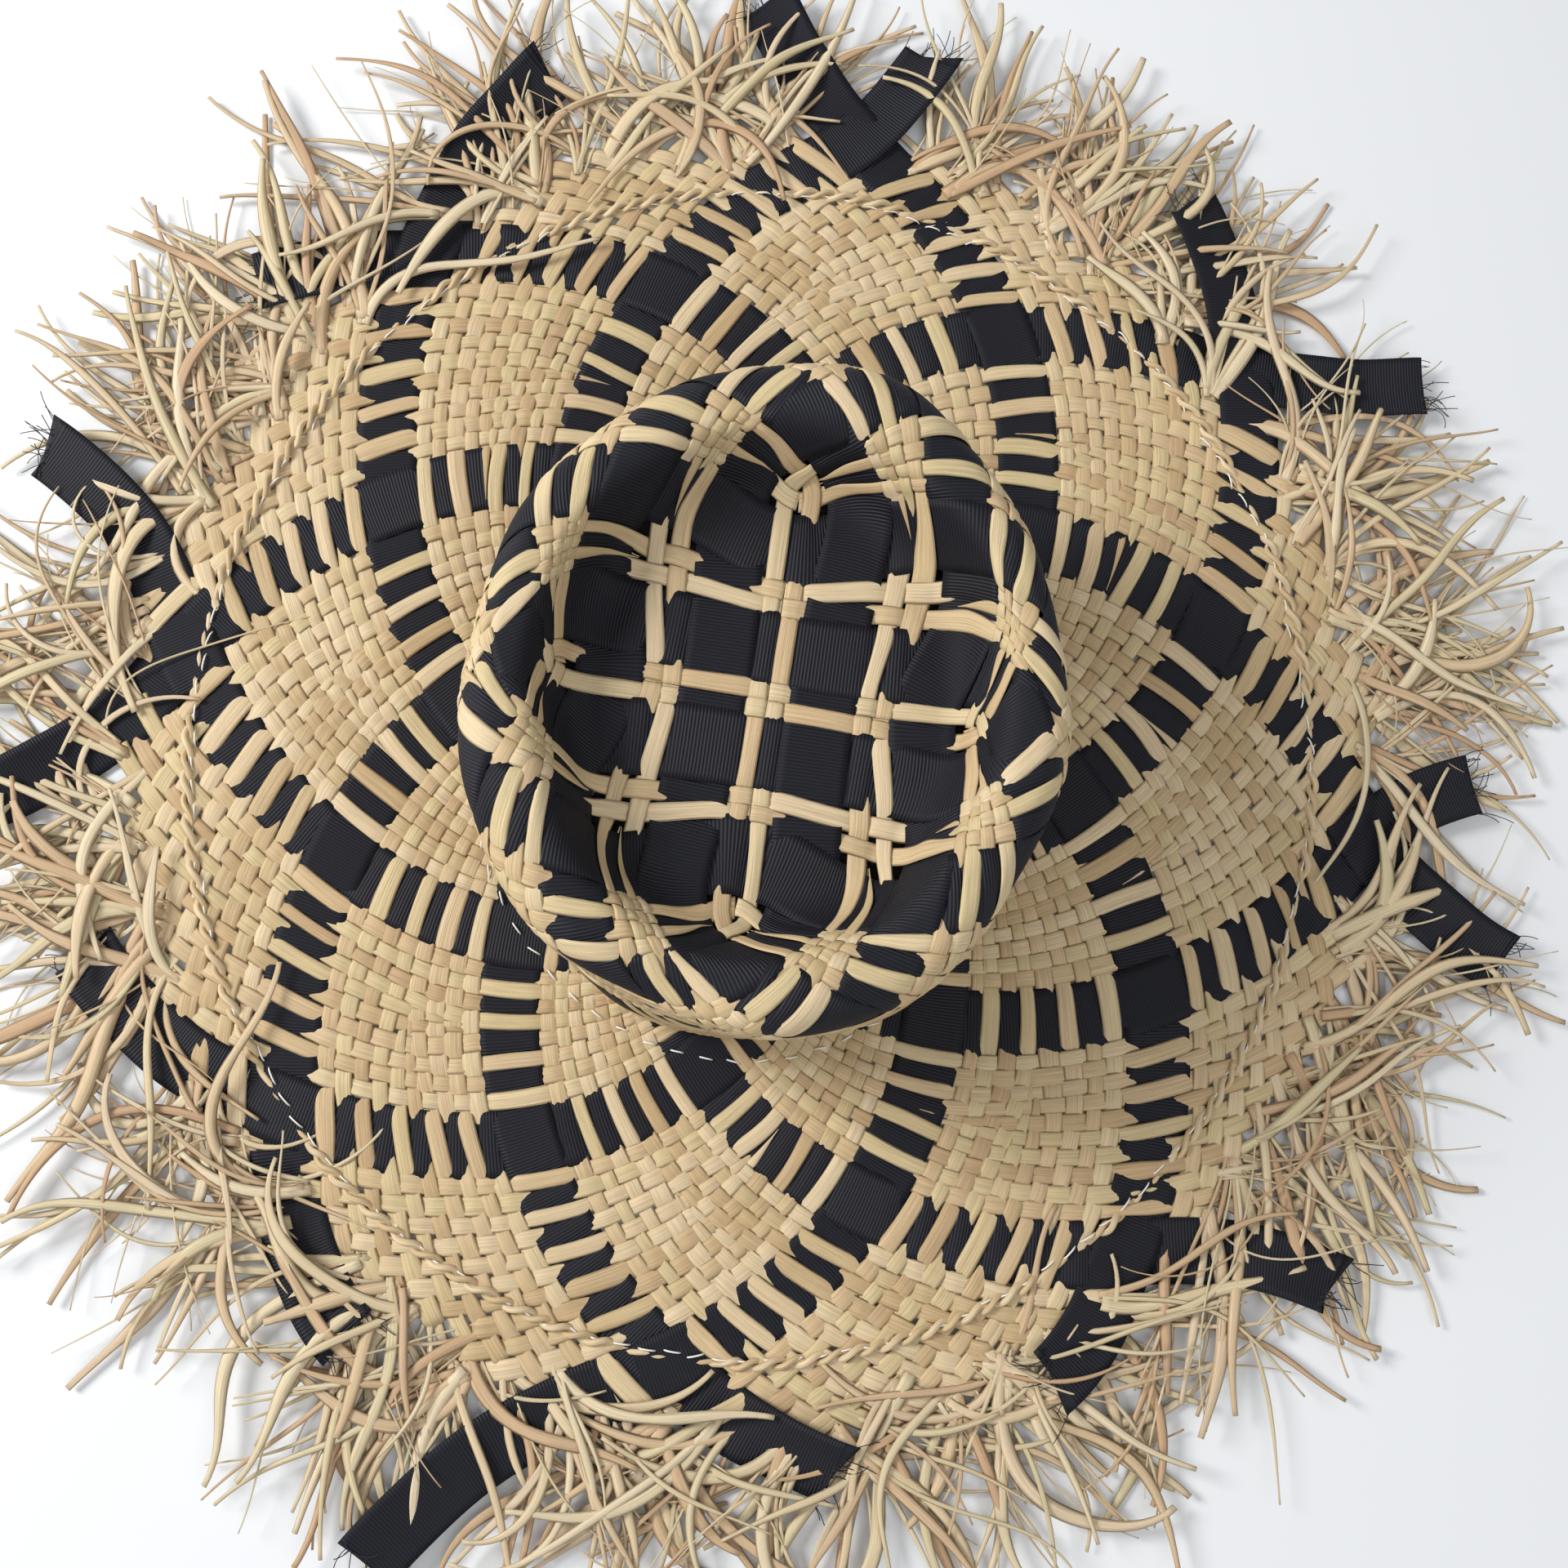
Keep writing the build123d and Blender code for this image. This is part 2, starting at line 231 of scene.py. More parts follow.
def middle_depth(family, t):
    """Depth, below zero, at which a strand crosses the middle line of the crown."""
    quarter = math.floor((t + 0.5) / 2) if family > 0 else math.floor((t - 1.5) / 2)
    return abs(PITCH * (1.5 - (t - 2 * quarter))) - U_TOP


# ------------------------------------------------------------------ how the strands share each gap
mid = net_point(np.full(len(US), 33.5), US)
mid_s = arc_position(flattened(mid))[0]
SCALE = np.maximum(1.0, 2 * math.pi * np.interp(mid_s, S, SR) / 8
                   / np.sqrt(1 + np.interp(mid_s, S, slant) ** 2) / PITCH)
SCALE = 1 + (SCALE - 1) * smooth(US / 25)
PAIR_START = np.array([-999.0, 10.0, 62.0, 136.0, 186.0])
JITTER = rng.uniform(-9, 9, (2, 8, 5))
JITTER[:, :, 0] = 0


def weights(family, gap, u):
    """Share of each strand from the ribbon to the middle of the gap."""
    f = 0 if family > 0 else 1
    gap = np.asarray(gap) % 8
    begin = PAIR_START + JITTER[f][gap]
    return smooth((u[..., None] - begin) / 20.0)


def ribbon_share(u):
    return RIBBON_W / (PITCH * np.interp(u, US, SCALE))


def strand_t(family, gap, side, pair, u):
    """Perimeter place and width of one raffia strand. side 0 counts from the gap's first ribbon."""
    w = weights(family, gap, u)
    total = w.sum(-1)
    before = w[..., :pair].sum(-1)
    rib = ribbon_share(u)
    half = (1 - rib) / 2
    unit = half / total
    place_t = rib / 2 + (before + w[..., pair] / 2) * unit
    width = w[..., pair] * unit * PITCH * np.interp(u, US, SCALE)
    return (gap + place_t if side == 0 else gap + 1 - place_t), width


def element_number(family, e, u):
    """Running number of the strand of a family at perimeter place e, whole at each strand's middle."""
    k = np.floor(e).astype(int)
    f = e - k
    rib = ribbon_share(u)
    g = (f - rib / 2) / (1 - rib)
    w = weights(family, k, u)
    total = w.sum(-1)
    near = np.minimum(g, 1 - g) * 2 * total
    index = np.zeros_like(e)
    left = near.copy()
    for p in range(5):
        part = np.clip(left / np.maximum(w[..., p], 1e-3), 0, 1)
        index += np.where(left > 0, part, 0)
        left = left - w[..., p]
    low = 3 * k + 1
    inside = np.where(g <= 0.5, low + 0.5 + index, low + 3 - 0.5 - index)
    number = np.where(g < 0, low + f / rib, np.where(g > 1, low + 3 - (1 - f) / rib, inside))
    return number


def rise(family, number, t, u):
    """Over (+1) or under (-1) of a strand along its depth u."""
    e = t + u / PITCH if family > 0 else t - u / PITCH
    other = element_number(-family, e, u)
    wave = np.cos(math.pi * (number + other)) * (-1 if family > 0 else 1)
    return np.tanh(2.0 * wave) / math.tanh(2.0)


# ------------------------------------------------------------------ meshes
class Piece:
    """Collects closed strips into one mesh with a UV map: x along in metres, y a number per strip."""

    def __init__(self, name):
        self.name = name
        self.verts = []
        self.faces = []
        self.uvs = []
        self.count = 0
        self.strips = 0

    def strip(self, loops, along, across):
        """loops is (sections, points, 3) in millimetres, round the section; across is 0 to 1."""
        n, m, _ = loops.shape
        base = self.count
        loops = loops.copy()
        loops[..., 2] = np.maximum(loops[..., 2], 0.0)
        self.verts.append(loops.reshape(-1, 3) * MM)
        idx = base + np.arange(n * m).reshape(n, m)
        nxt = np.roll(idx, -1, axis=1)
        quads = np.stack([idx[:-1], nxt[:-1], nxt[1:], idx[1:]], -1).reshape(-1, 4)
        self.faces.append(quads)
        a = np.broadcast_to(along[:, None] * MM, (n, m))
        c = np.broadcast_to(across[None, :] * 0.9 + 0.05 + self.strips, (n, m))
        uv = np.stack([a, c], -1)
        uvn = np.roll(uv, -1, axis=1)
        self.uvs.append(np.stack([uv[:-1], uvn[:-1], uvn[1:], uv[1:]], 2).reshape(-1, 2))
        half = m // 2
        for row, turn in ((0, False), (n - 1, True)):
            for j in range(half - 1):
                q = [idx[row, j], idx[row, m - 1 - j], idx[row, m - 2 - j], idx[row, j + 1]]
                if turn:
                    q = q[::-1]
                self.faces.append(np.array([q]))
                self.uvs.append(np.array([uv[row, j]] * 4))
        self.count += n * m
        self.strips += 1

    def build(self, material, nodes, slot):
        mesh = bpy.data.meshes.new(self.name)
        verts = np.concatenate(self.verts)
        faces = np.concatenate(self.faces)
        uvs = np.concatenate(self.uvs)
        mesh.vertices.add(len(verts))
        mesh.vertices.foreach_set("co", verts.astype(np.float32).ravel())
        mesh.loops.add(len(faces) * 4)
        mesh.loops.foreach_set("vertex_index", faces.astype(np.int32).ravel())
        mesh.polygons.add(len(faces))
        mesh.polygons.foreach_set("loop_start", np.arange(0, len(faces) * 4, 4, dtype=np.int32))
        mesh.polygons.foreach_set("loop_total", np.full(len(faces), 4, dtype=np.int32))
        layer = mesh.uv_layers.new(name="strand")
        mesh.update(calc_edges=True)
        layer.data.foreach_set("uv", uvs.astype(np.float32).ravel())
        mesh.polygons.foreach_set("use_smooth", np.ones(len(faces), dtype=bool))
        mesh.validate(clean_customdata=False)
        mesh.materials.append(material)
        obj = bpy.data.objects.new(self.name, mesh)
        bpy.context.collection.objects.link(obj)
        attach(obj, "root")
        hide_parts(*nodes)
        return obj


def noise_line(n, reach, count=1):
    """Smooth random lines of unit size, one per column."""
    k = np.exp(-0.5 * (np.arange(-3 * reach, 3 * reach + 1) / reach) ** 2)
    raw = rng.normal(size=(n + len(k) - 1, count))
    out = np.stack([np.convolve(raw[:, c], k, "valid") for c in range(count)], -1)
    return out / math.sqrt((k**2).sum())


def side_step(q, distance):
    """Arc length and angle, at distances to the side of a line of flattened points."""
    dq = np.gradient(q)
    s, angle = arc_position(q)
    ds = np.gradient(s)
    da = np.gradient(np.unwrap(angle))
    r = np.maximum(np.interp(s, S, SR), 1)
    p = ds + 1j * r * da
    p = p / np.maximum(np.abs(p), 1e-9) * 1j
    s1 = s[:, None] + np.zeros_like(distance)
    a1 = angle[:, None] + np.zeros_like(distance)
    for k in range(4):
        rr = np.maximum(np.interp(s1 + p.real[:, None] * distance / 8, S, SR), 1)
        s1 = s1 + p.real[:, None] * distance / 4
        a1 = a1 + p.imag[:, None] * distance / 4 / rr
    moved = q[:, None] + (dq / np.maximum(np.abs(dq), 1e-9) * 1j)[:, None] * distance
    s0, a0 = arc_position(moved)
    flat = smooth((52 - np.abs(q)) / 8)[:, None]
    turn = (a0 - a1 + math.pi) % (2 * math.pi) - math.pi
    return s1 * (1 - flat) + s0 * flat, a1 + turn * flat


# ------------------------------------------------------------------ materials
def new_material(name, rough):
    mat = bpy.data.materials.new(name)
    mat.use_nodes = True
    nodes = mat.node_tree.nodes
    shader = nodes["Principled BSDF"]
    shader.inputs["Roughness"].default_value = rough
    return mat, nodes, mat.node_tree.links, shader


def straw_material(name, colours):
    """Straw: one tone a strip, long fibres, fine creases and a slight sheen."""
    mat, nodes, links, shader = new_material(name, 0.5)
    uv = nodes.new("ShaderNodeUVMap")
    uv.uv_map = "strand"
    split = nodes.new("ShaderNodeSeparateXYZ")
    links.new(uv.outputs["UV"], split.inputs[0])
    floor = nodes.new("ShaderNodeMath")
    floor.operation = "FLOOR"
    links.new(split.outputs["Y"], floor.inputs[0])
    white = nodes.new("ShaderNodeTexWhiteNoise")
    white.noise_dimensions = "1D"
    links.new(floor.outputs[0], white.inputs["W"])
    ramp = nodes.new("ShaderNodeValToRGB")
    ramp.color_ramp.elements[0].color = (*colours[0], 1)
    ramp.color_ramp.elements[1].color = (*colours[-1], 1)
    for k, c in enumerate(colours[1:-1]):
        e = ramp.color_ramp.elements.new((k + 1) / (len(colours) - 1))
        e.color = (*c, 1)
    links.new(white.outputs["Value"], ramp.inputs[0])
    stretchy = nodes.new("ShaderNodeMapping")
    stretchy.inputs["Scale"].default_value = (22, 9, 1)
    links.new(uv.outputs["UV"], stretchy.inputs["Vector"])
    fibre = nodes.new("ShaderNodeTexNoise")
    fibre.inputs["Scale"].default_value = 1.6
    fibre.inputs["Detail"].default_value = 6
    fibre.inputs["Roughness"].default_value = 0.65
    links.new(stretchy.outputs[0], fibre.inputs["Vector"])
    shade = nodes.new("ShaderNodeMapRange")
    shade.inputs["From Min"].default_value = 0.3
    shade.inputs["From Max"].default_value = 0.72
    shade.inputs["To Min"].default_value = 0.62
    shade.inputs["To Max"].default_value = 1.12
    links.new(fibre.outputs["Fac"], shade.inputs["Value"])
    mix = nodes.new("ShaderNodeVectorMath")
    mix.operation = "SCALE"
    links.new(ramp.outputs["Color"], mix.inputs[0])
    links.new(shade.outputs[0], mix.inputs["Scale"])
    links.new(mix.outputs[0], shader.inputs["Base Color"])
    bump = nodes.new("ShaderNodeBump")
    bump.inputs["Strength"].default_value = 0.55
    bump.inputs["Distance"].default_value = 0.0006
    links.new(fibre.outputs["Fac"], bump.inputs["Height"])
    links.new(bump.outputs[0], shader.inputs["Normal"])
    shader.inputs["Specular IOR Level"].default_value = 0.35
    return mat


def ribbon_material():
    """Black grosgrain: ribs straight across, about a millimetre apart."""
    mat, nodes, links, shader = new_material("grosgrain", 0.62)
    uv = nodes.new("ShaderNodeUVMap")
    uv.uv_map = "strand"
    wave = nodes.new("ShaderNodeTexWave")
    wave.wave_type = "BANDS"
    wave.bands_direction = "X"
    wave.inputs["Scale"].default_value = math.pi * 2 / (RIB_PITCH * MM * 20)
    wave.inputs["Distortion"].default_value = 0.15
    links.new(uv.outputs["UV"], wave.inputs["Vector"])
    ramp = nodes.new("ShaderNodeValToRGB")
    ramp.color_ramp.elements[0].color = (0.0025, 0.0026, 0.005, 1)
    ramp.color_ramp.elements[1].color = (0.011, 0.0115, 0.019, 1)
    links.new(wave.outputs["Fac"], ramp.inputs[0])
    links.new(ramp.outputs["Color"], shader.inputs["Base Color"])
    bump = nodes.new("ShaderNodeBump")
    bump.inputs["Strength"].default_value = 0.7
    bump.inputs["Distance"].default_value = 0.0003
    links.new(wave.outputs["Fac"], bump.inputs["Height"])
    links.new(bump.outputs[0], shader.inputs["Normal"])
    shader.inputs["Specular IOR Level"].default_value = 0.3
    return mat


def plain_material(name, colour, rough):
    mat, _, _, shader = new_material(name, rough)
    shader.inputs["Base Color"].default_value = (*colour, 1)
    return mat


STRAW = straw_material("raffia", [(0.60, 0.42, 0.22), (0.72, 0.54, 0.31), (0.66, 0.47, 0.26),
                                  (0.78, 0.61, 0.38), (0.70, 0.55, 0.30), (0.55, 0.36, 0.19)])
LOOSE = straw_material("loose raffia", [(0.66, 0.46, 0.27), (0.80, 0.63, 0.40), (0.72, 0.60, 0.36),
                                        (0.84, 0.69, 0.47), (0.62, 0.40, 0.23), (0.76, 0.57, 0.35)])
BLACK = ribbon_material()
THREAD = plain_material("white thread", (0.82, 0.80, 0.74), 0.7)
BLACK_THREAD = plain_material("black thread", (0.012, 0.012, 0.018), 0.7)
BAND = plain_material("inner band", (0.03, 0.03, 0.035), 0.85)


# ------------------------------------------------------------------ raffia and ribbons
BASE_OFFSET = -1.15
straw_ends = []


def raffia_strand(piece, family, gap, side, pair, number):
    begin = PAIR_START[pair] + JITTER[0 if family > 0 else 1][gap % 8][pair] + 2
    anchor = gap + (0.45 if side == 0 else 0.55)
    if pair == 0:
        t0 = strand_t(family, gap, side, pair, np.array([0.0]))[0][0]
        begin = middle_depth(family, t0)
    u = np.arange(begin, U_MAX, 1.0)
    t, width = strand_t(family, gap, side, pair, u)
    n = woven_part(family, t, u, anchor, rng.uniform(12, 27))
    u, t, width = u[:n], t[:n], width[:n]
    q = family_point(family, t, u, anchor)
    up = rise(family, number, t, u)
    n = len(u)
    v = np.array([-1, -0.72, -0.36, 0.0, 0.36, 0.72, 1, 0.6, 0, -0.6])
    top = np.array([0.12, 0.72, 0.98, 1.0, 0.95, 0.75, 0.12, -0.5, -0.62, -0.5])
    s_mid, _ = arc_position(q)
    pinch = np.exp(-((s_mid - EDGE_S) / 4.0) ** 2)
    wide = width * 0.49 * (1 + 0.09 * noise_line(n, 9)[:, 0]) * (1 - 0.35 * pinch)
    wide = np.maximum(wide, 0.15)
    sway = noise_line(n, 14)[:, 0] * 0.25
    side_to_side = sway[:, None] + wide[:, None] * v[None, :]
    s, angle = side_step(q, side_to_side)
    ridges = noise_line(n, 12, 10) * 0.16 * (np.abs(v) < 0.9)[None, :]
    height = RAFFIA_T / 2 * (top[None, :] + ridges) * np.minimum(1, wide / 1.6)[:, None]
    height = height * (1 + 0.7 * pinch[:, None])
    offset = BASE_OFFSET + (0.55 * up)[:, None] * (1 - 0.5 * pinch[:, None]) + height + 0.5 * pinch[:, None]
    loops = place(s, angle, offset)
    across = (v + 1) / 2
    length = np.concatenate([[0], np.cumsum(np.linalg.norm(np.diff(loops[:, 3], axis=0), axis=1))])
    piece.strip(loops, length + rng.uniform(0, 900), across)
    straw_ends.append((loops[-1].mean(0), loops[-1, 3] - loops[-6, 3], float(wide[-1]) * 2, family, up[-1]))


def woven_part(family, t, u, anchor, margin):
    """How many samples of a strand lie inside the woven part of the brim."""
    s, _ = arc_position(family_point(family, t, u, anchor))
    return int(np.argmax(s > EDGE_S + margin)) or len(u)


def build_raffia():
    for family in (1, -1):
        for quarter in range(4):
            piece = Piece(f"raffia_{'clockwise' if family > 0 else 'counter'}_{quarter + 1}")
            for gap in (2 * quarter, 2 * quarter + 1):
                for pair in range(5):
                    raffia_strand(piece, family, gap, 0, pair, 3 * gap + 2 + pair)
                    raffia_strand(piece, family, gap, 1, pair, 3 * gap + 3 - pair)
            piece.build(STRAW, ["crown_weave", "brim_weave"], "raffia")


tail_ends = []
TAILS = {(1, 0): (74, 2.0), (1, 1): (40, -3.0), (1, 2): (92, 1.6), (1, 3): (62, -2.0), (1, 4): (70, 2.4),
         (1, 5): (84, -1.4), (1, 6): (58, 2.2), (1, 7): (88, 1.0), (-1, 0): (66, -2.0), (-1, 1): (46, 2.0),
         (-1, 2): (52, 3.0), (-1, 3): (76, -2.0), (-1, 4): (60, 1.0), (-1, 5): (82, -1.2), (-1, 6): (90, 1.2),
         (-1, 7): (56, -2.6)}


def ribbon_half(family, k):
    """Section loops of half a ribbon, from the crown's middle to its free end."""
    begin = middle_depth(family, k)
    u = np.arange(begin, U_MAX, 1.0)
    u = u[:woven_part(family, np.full(len(u), float(k)), u, k, 16.0)]
    t = np.full(len(u), float(k))
    q = family_point(family, t, u, k)
    up = rise(family, 3 * k + 1, t, u)
    n = len(u)
    v = np.linspace(-1, 1, 9)
    v = np.concatenate([v, v[::-1]])
    sign = np.concatenate([np.ones(9), -np.ones(9)])
    s_mid, _ = arc_position(q)
    pinch = np.exp(-((s_mid - EDGE_S) / 4.0) ** 2)
    wide = RIBBON_W / 2 * (1 + 0.012 * noise_line(n, 25)[:, 0])
    s, angle = side_step(q, wide[:, None] * v[None, :] + noise_line(n, 30)[:, 0][:, None] * 0.3)
    cup = noise_line(n, 22)[:, 0] * 0.12
    offset = (BASE_OFFSET + 0.45 * up + 0.5 * pinch)[:, None] + cup[:, None] * (v**2)[None, :] \
        + sign[None, :] * RIBBON_T / 2 + 0.18 * pinch[:, None] * np.cos(v * 9)[None, :]
    loops = place(s, angle, offset)
    reach, bend = TAILS[(family, k)]
    end = loops[-1]
    centre = end.mean(0)
    d = (loops[-1] - loops[-4]).mean(0)
    heading_now = math.atan2(d[1], d[0])
    steps = int(reach / 2)
    rows = []
    z0 = centre[2]
    lift = rng.uniform(1.5, 6.0)
    roll = rng.uniform(-0.3, 0.3)
    for j in range(1, steps + 1):
        part = j / steps
        heading_now += math.radians(bend) * 0.45 + math.radians(0.5) * math.sin(j / 4 + k)
        centre = centre + 2 * np.array([math.cos(heading_now), math.sin(heading_now), 0])
        side = np.array([-math.sin(heading_now), math.cos(heading_now), 0])
        free = smooth(part * 3)
        z = z0 * (1 - free) + free * (2.2 + lift * smooth(part) + 0.5 * math.sin(j / 3))
        tilt = roll * smooth(part * 1.5)
        w = RIBBON_W / 2
        row = centre + side * (w * v)[:, None] * math.cos(tilt)
        high = z + w * v * math.sin(tilt) + 1.2 * part * v**2 + sign * RIBBON_T / 2
        row[:, 2] = np.maximum(high, 0.2 + 0.2 * sign)
        if j == steps:
            cut = rng.uniform(-1.2, 1.2) + 5 * v * rng.uniform(-1, 1)
            row[:, :2] += np.array([math.cos(heading_now), math.sin(heading_now)]) * cut[:, None]
        rows.append(row)
    loops = np.concatenate([loops, np.array(rows)])
    tail_ends.append((loops[-1], np.array([math.cos(heading_now), math.sin(heading_now), 0])))
    return loops


def build_ribbons():
    pairs = {"lengthwise": [((1, 0), (-1, 7)), ((1, 1), (-1, 6)), ((-1, 2), (1, 5)), ((-1, 3), (1, 4))],
             "crosswise": [((-1, 5), (1, 6)), ((-1, 4), (1, 7)), ((1, 3), (-1, 0)), ((1, 2), (-1, 1))]}
    for way, list_of in pairs.items():
        for number, (a, b) in enumerate(list_of):
            one = ribbon_half(*a)
            two = ribbon_half(*b)
            order = np.concatenate([np.arange(8, -1, -1), np.arange(17, 8, -1)])
            two = two[:, order]
            whole = np.concatenate([two[:0:-1], one])
            length = np.concatenate([[0], np.cumsum(np.linalg.norm(np.diff(whole[:, 4], axis=0), axis=1))])
            v = np.linspace(0, 1, 9)
            piece = Piece(f"ribbon_{way}_{number + 1}_cloth")
            piece.strip(whole, length, np.concatenate([v, v[::-1]]))
            obj = piece.build(BLACK, [f"ribbon_{way}_{number + 1}"], "ribbon")


# ------------------------------------------------------------------ fringe
STRIP_WIDTHS = [0.9, 1.8, 3.0, 4.2, 5.4]
FOLDED_SECTION = ((-1, 0), (-0.5, 0.55), (0, 1), (0.5, 0.6), (1, 0.05), (0.5, 0.38), (0, 0.74),
                  (-0.5, 0.33))


def fringe_strip(piece, start, direction, reach, width, bend, z_start, z_end, fold):
    """One loose strip, folded along its middle, tapering to its tip."""
    step = 3.0
    n = max(6, int(reach / step))
    heading_now = math.atan2(direction[1], direction[0])
    wander = noise_line(n, 5)[:, 0] * 0.05
    spin = noise_line(n, 8)[:, 0] * 0.5
    rise_line = noise_line(n, 7)[:, 0] * 1.1
    c = np.array([start[0], start[1]], float)
    rows = []
    for j in range(n):
        part = j / (n - 1)
        heading_now += bend * step / 60 + wander[j]
        d = np.array([math.cos(heading_now), math.sin(heading_now)])
        side = np.array([-d[1], d[0]])
        w = width / 2 * (1 - 0.55 * smooth((part - 0.55) / 0.45)) * (0.75 + 0.25 * abs(math.cos(spin[j] * 3)))
        z = z_start + (z_end - z_start) * smooth(part * 1.6) + abs(rise_line[j]) * smooth(part * 4)
        lift = fold * w * (0.5 + 0.5 * math.cos(spin[j] * 2))
        pts = []
        for v, h in FOLDED_SECTION:
            pts.append([c[0] + side[0] * w * v, c[1] + side[1] * w * v,
                        max(0.12 + 0.1 * h, z + lift * h)])
        rows.append(pts)
        c = c + d * step
    rows = np.array(rows)
    low = rows[:, 5:8].copy()
    low[:, :, 2] = np.maximum(np.minimum(low[:, :, 2], rows[:, [3, 2, 1], 2] - 0.25), 0.05)
    rows[:, 5:8] = low
    across = np.array([0, 0.25, 0.5, 0.75, 1, 0.75, 0.5, 0.25])
    piece.strip(rows, np.arange(n) * step + rng.uniform(0, 900), across)


def build_fringe():
    bundles = [Piece(f"fringe_{k + 1:02d}_strips") for k in range(16)]
    for start, d, width, family, up in straw_ends:
        angle = math.degrees(math.atan2(start[1] - SHIFT[1], start[0] - SHIFT[0])) % 360
        k = int(angle // 22.5) % 16
        radial = start[:2] / np.linalg.norm(start[:2])
        d = d[:2] / np.linalg.norm(d[:2])
        splits = int(rng.integers(5, 9))
        for j in range(splits):
            lean = rng.normal(0, 0.16)
            along = d * 0.8 + radial * rng.uniform(0.1, 0.7)
            along = along / np.linalg.norm(along)
            along = np.array([along[0] * math.cos(lean) - along[1] * math.sin(lean),
                              along[0] * math.sin(lean) + along[1] * math.cos(lean)])
            back = rng.uniform(0, 6)
            s = start[:2] - d * back + np.array([-d[1], d[0]]) * rng.uniform(-0.3, 0.3) * width
            reach = rng.uniform(48, 104)
            limit = 300 - np.linalg.norm(s)
            reach = min(reach, max(40, limit / max(0.55, float(along @ radial)) * 0.97))
            w = rng.choice(STRIP_WIDTHS, p=[0.2, 0.24, 0.24, 0.2, 0.12])
            fringe_strip(bundles[k], s, along, reach, w, rng.normal(0, 0.28), start[2] + 0.5 * up,
                         rng.uniform(0.3, 7.5), rng.uniform(0.25, 0.8))
    for k, piece in enumerate(bundles):
        piece.build(LOOSE, [f"fringe_bundle_{k + 1:02d}"], "fringe")


# ------------------------------------------------------------------ threads and the inner band
def thread_loops(points, radius, sides=6):
    points = np.asarray(points, float)
    d = np.gradient(points, axis=0)
    d /= np.linalg.norm(d, axis=1)[:, None] + 1e-9
    up = np.array([0, 0, 1.0])
    a = np.cross(d, up)
    a /= np.linalg.norm(a, axis=1)[:, None] + 1e-9
    b = np.cross(a, d)
    t = np.arange(sides) * 2 * math.pi / sides
    ring = a[:, None] * np.cos(t)[None, :, None] + b[:, None] * np.sin(t)[None, :, None]
    return points[:, None] + radius * ring


def stitches(name, node, count, s_at, long, lift):
    piece = Piece(name)
    for k in range(count):
        t = 2 * math.pi * (k + 0.5) / count + rng.normal(0, 0.15) / count
        span = long / np.interp(s_at, S, SR)
        steps = np.linspace(-0.5, 0.5, 7)
        angle = t + steps * span
        s = np.full(7, s_at + rng.normal(0, 0.5)) + steps * rng.normal(0, 0.9)
        pts = place(s, angle, lift - 1.2 * np.abs(steps * 2) ** 4)
        piece.strip(thread_loops(pts, 0.3), np.arange(7.0), np.linspace(0, 1, 6))
    piece.build(THREAD, [node], "thread")


def build_frays():
    piece = Piece("ribbon_frays")
    for end, d in tail_ends:
        for k in range(16):
            j = rng.uniform(0, 7.99)
            a = end[int(j)] * (1 - j % 1) + end[int(j) + 1] * (j % 1)
            pts = [a - d * 1.5]
            lean = rng.normal(0, 0.45)
            c = math.cos(lean)
            n = math.sin(lean)
            e = np.array([d[0] * c - d[1] * n, d[0] * n + d[1] * c, 0])
            swerve = rng.normal(0, 0.12)
            long = int(rng.integers(2, 9))
            for m in range(long):
                e = np.array([e[0] - e[1] * swerve, e[1] + e[0] * swerve, rng.normal(0, 0.1)])
                e /= np.linalg.norm(e)
                nxt = pts[-1] + e * 1.7
                nxt[2] = max(nxt[2], 0.3)
                pts.append(nxt)
            piece.strip(thread_loops(pts, 0.16, 4), np.arange(len(pts)) * 1.7, np.linspace(0, 1, 4))
    piece.build(BLACK_THREAD, ["ribbon_lengthwise_1"], "ribbon")


def build_twist():
    """Two plies of raffia twisted round each other along the seam, sunk where a ribbon crosses it."""
    exits = []
    for family in (1, -1):
        for k in range(8):
            u = np.arange(60.0, U_MAX, 1.0)
            t = np.full(len(u), float(k))
            n = woven_part(family, t, u, k, 0.0)
            exits.append(arc_position(family_point(family, t[:n], u[:n], k))[1][-1])
    piece = Piece("edge_twist_plies")
    n = 2400
    angle = np.linspace(0, 2 * math.pi, n + 1)
    gap = (angle[:, None] - np.array(exits)[None, :] + math.pi) % (2 * math.pi) - math.pi
    away = np.min(np.abs(gap), axis=1)
    show = smooth((away * BRIM_R - 10) / 7)
    wander = noise_line(n + 1, 60)[:, 0] * 0.5
    wander = wander * smooth(np.minimum(np.arange(n + 1), n - np.arange(n + 1)) / 80)
    for ply in range(2):
        turn = angle * 88 + ply * math.pi
        size = 1.25 * (0.35 + 0.65 * show)
        s = EDGE_S + wander + size * np.cos(turn)
        middle = place(s, angle, -1.6 + 1.6 * show + size * np.sin(turn))
        radius = 1.0 if ply else 1.15
        piece.strip(thread_loops(middle, radius, 8), angle * BRIM_R, np.linspace(0, 1, 8))
    piece.build(STRAW, ["edge_twist"], "raffia")


BAND_SECTION = ((0.5, 91.9), (9, 91.6), (18, 91.7), (26.0, 92.2), (26.0, 93.0), (18, 92.6),
                (9, 92.5), (0.5, 92.8))


def build_band():
    piece = Piece("inner_band_cloth")
    n = 160
    rows = []
    for k in range(n + 1):
        t = 2 * math.pi * k / n
        row = []
        for z, r in BAND_SECTION:
            r = r + 0.15 * math.sin(9 * t)
            row.append([r * (1 - STRETCH) * math.cos(t), r * (1 + STRETCH) * math.sin(t), z])
        rows.append(row)
    piece.strip(np.array(rows), np.arange(n + 1) * 3.6, np.linspace(0, 1, 8))
    piece.build(BAND, ["inner_band"], "band_fabric")


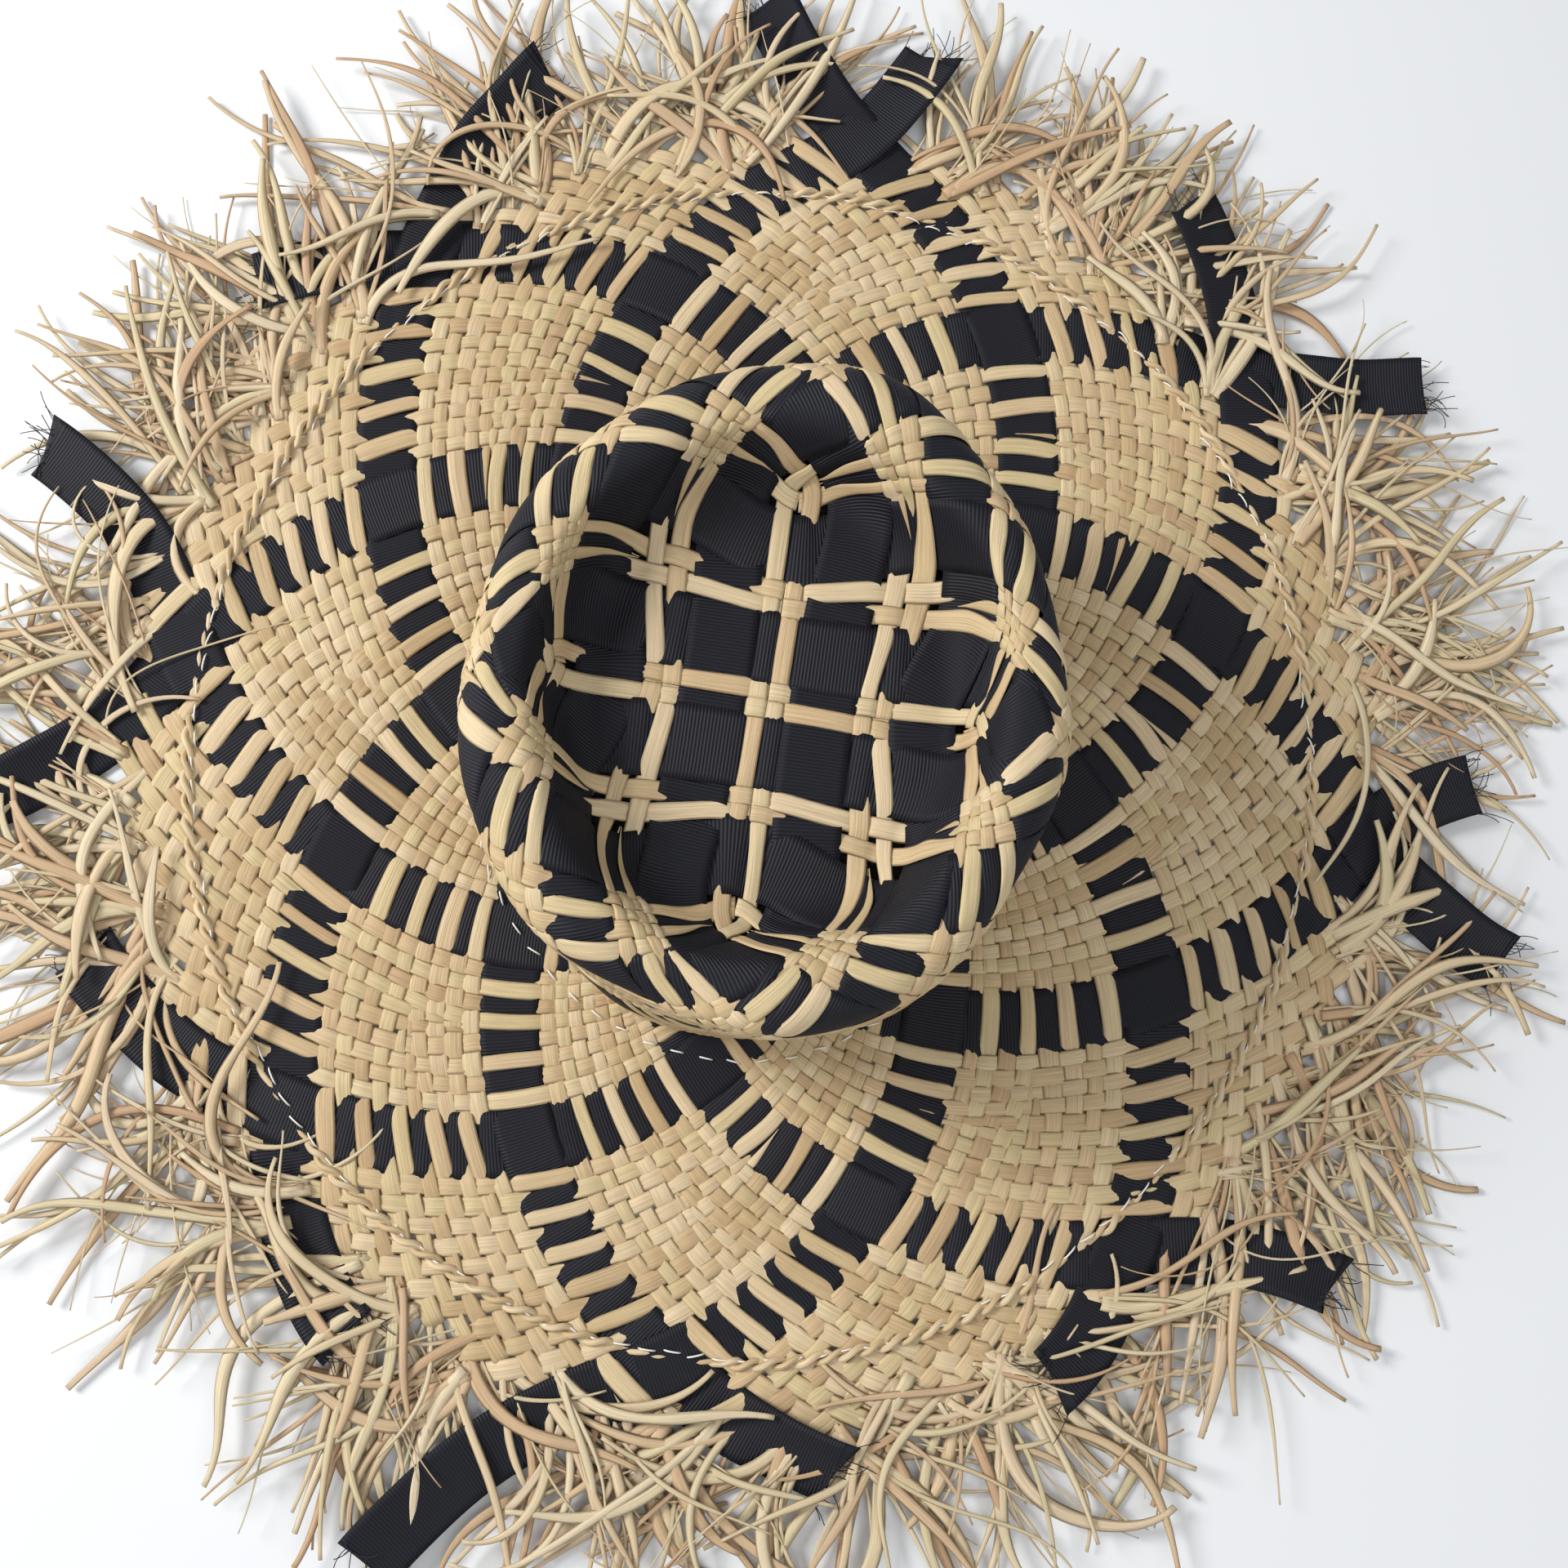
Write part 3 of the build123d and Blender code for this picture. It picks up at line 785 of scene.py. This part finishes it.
build_raffia()
build_ribbons()
build_fringe()
build_frays()
build_twist()
build_band()
stitches("band_seam", "inner_band_stitching", 62, BRIM_START + 2.5, 4.6, 0.55)
stitches("edge_seam", "edge_stitching", 150, EDGE_S - 1.0, 5.8, 0.75)


# ------------------------------------------------------------------ floor, light and camera
floor_mesh = bpy.data.meshes.new("floor")
reach = 6.0
floor_corners = [(-reach, -reach, 0), (reach, -reach, 0), (reach, reach, 0), (-reach, reach, 0)]
floor_mesh.from_pydata(floor_corners, [], [(0, 1, 2, 3)])
floor = bpy.data.objects.new("floor", floor_mesh)
bpy.context.collection.objects.link(floor)
floor_mesh.materials.append(plain_material("floor", (0.80, 0.81, 0.82), 0.7))


def area_light(name, place_at, target, size, power):
    data = bpy.data.lights.new(name, "AREA")
    data.shape = "DISK"
    data.size = size
    data.energy = power
    obj = bpy.data.objects.new(name, data)
    bpy.context.collection.objects.link(obj)
    obj.location = place_at
    obj.rotation_euler = (Vector(target) - Vector(place_at)).to_track_quat("-Z", "Y").to_euler()


area_light("window", (-1.5, 0.25, 1.05), (0, 0, 0.04), 0.7, 34)
area_light("fill", (0.8, -0.9, 1.9), (0, 0, 0), 2.4, 16)
world = bpy.data.worlds.new("studio")
bpy.context.scene.world = world
world.use_nodes = True
world.node_tree.nodes["Background"].inputs["Color"].default_value = (0.93, 0.96, 1.0, 1)
world.node_tree.nodes["Background"].inputs["Strength"].default_value = 0.42
bpy.context.scene.view_settings.view_transform = "Standard"

eye = Vector((-0.0153, -0.1096, 0.5548))
target = Vector((0.0127, -0.0114, 0.0))
roll = -0.149
camera_data = bpy.data.cameras.new("camera")
camera_data.sensor_width = 36.0
camera_data.lens = 36.0 * 1960 / 1920
camera = bpy.data.objects.new("camera", camera_data)
bpy.context.collection.objects.link(camera)
forward = (target - eye).normalized()
up_hint = Vector((math.sin(roll), math.cos(roll), 0))
right = forward.cross(up_hint).normalized()
up = right.cross(forward)
camera.matrix_world = Matrix(((right.x, up.x, -forward.x, eye.x), (right.y, up.y, -forward.y, eye.y),
                              (right.z, up.z, -forward.z, eye.z), (0, 0, 0, 1)))
bpy.context.scene.camera = camera
